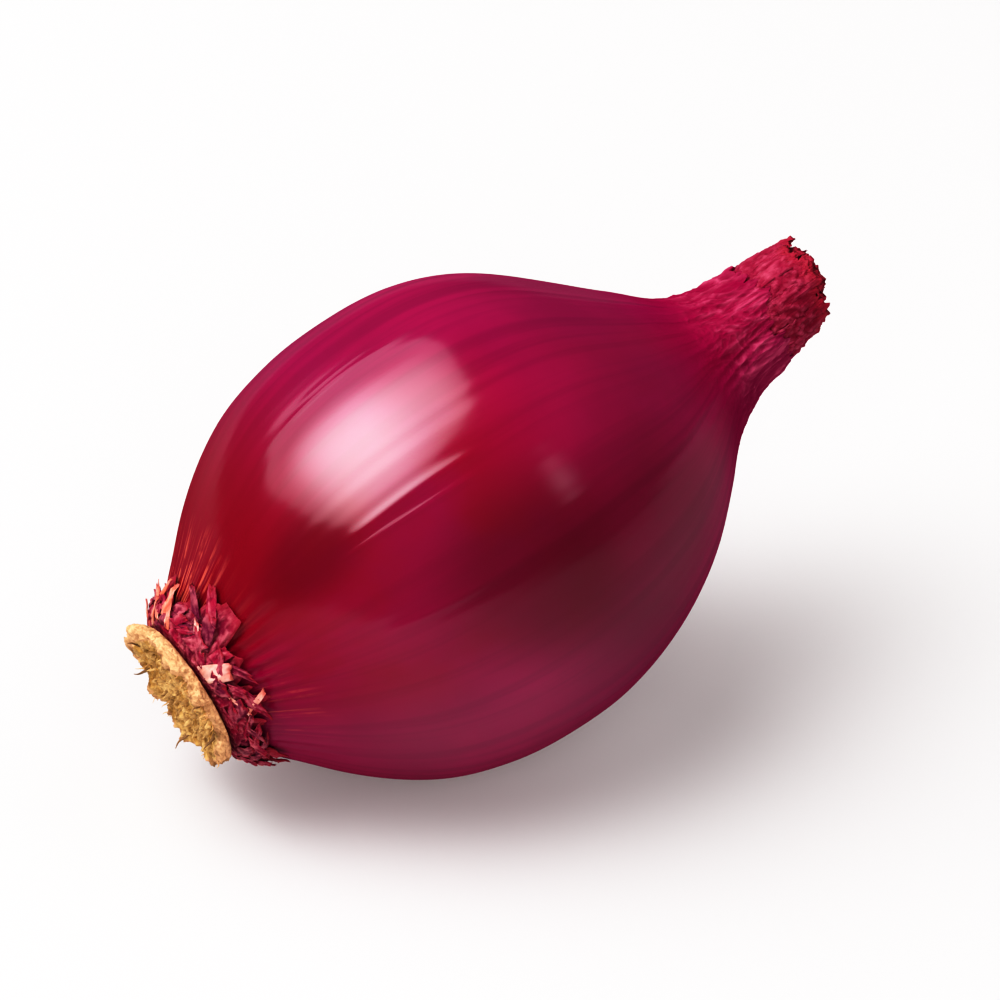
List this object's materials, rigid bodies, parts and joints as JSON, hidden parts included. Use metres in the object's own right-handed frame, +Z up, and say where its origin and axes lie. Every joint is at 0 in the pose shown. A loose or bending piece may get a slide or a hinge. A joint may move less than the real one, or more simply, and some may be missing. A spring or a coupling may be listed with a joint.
{
  "type": "red onion set",
  "caption": "Small red onion planting bulb lying on its side: glossy pear-shaped bulb, torn papery neck with dry leaf ends, and a ragged corky root plate.",
  "frame": {"origin": "the point on the small flat rest spot straight below the middle of the belly, on the surface the bulb lies on", "axes": "+Z up, +X in plan along the bulb from the root plate towards the neck, which rises from the surface; -Z is the outward normal of the rest spot"},
  "size_m": [0.0325, 0.0197, 0.02],
  "materials": {
    "red_skin": "glossy thin plant skin, crimson to purple",
    "dry_leaf": "dry papery crimson leaf, matte",
    "torn_skin": "dry torn skin, dark crimson with orange tips",
    "root_cork": "dry tan cork, matte"
  },
  "bodies": {
    "root": {"bulb": "red_skin", "dry_leaf_ends": "dry_leaf", "torn_skin": "torn_skin", "root_plate": "root_cork"}
  },
  "joints": []
}
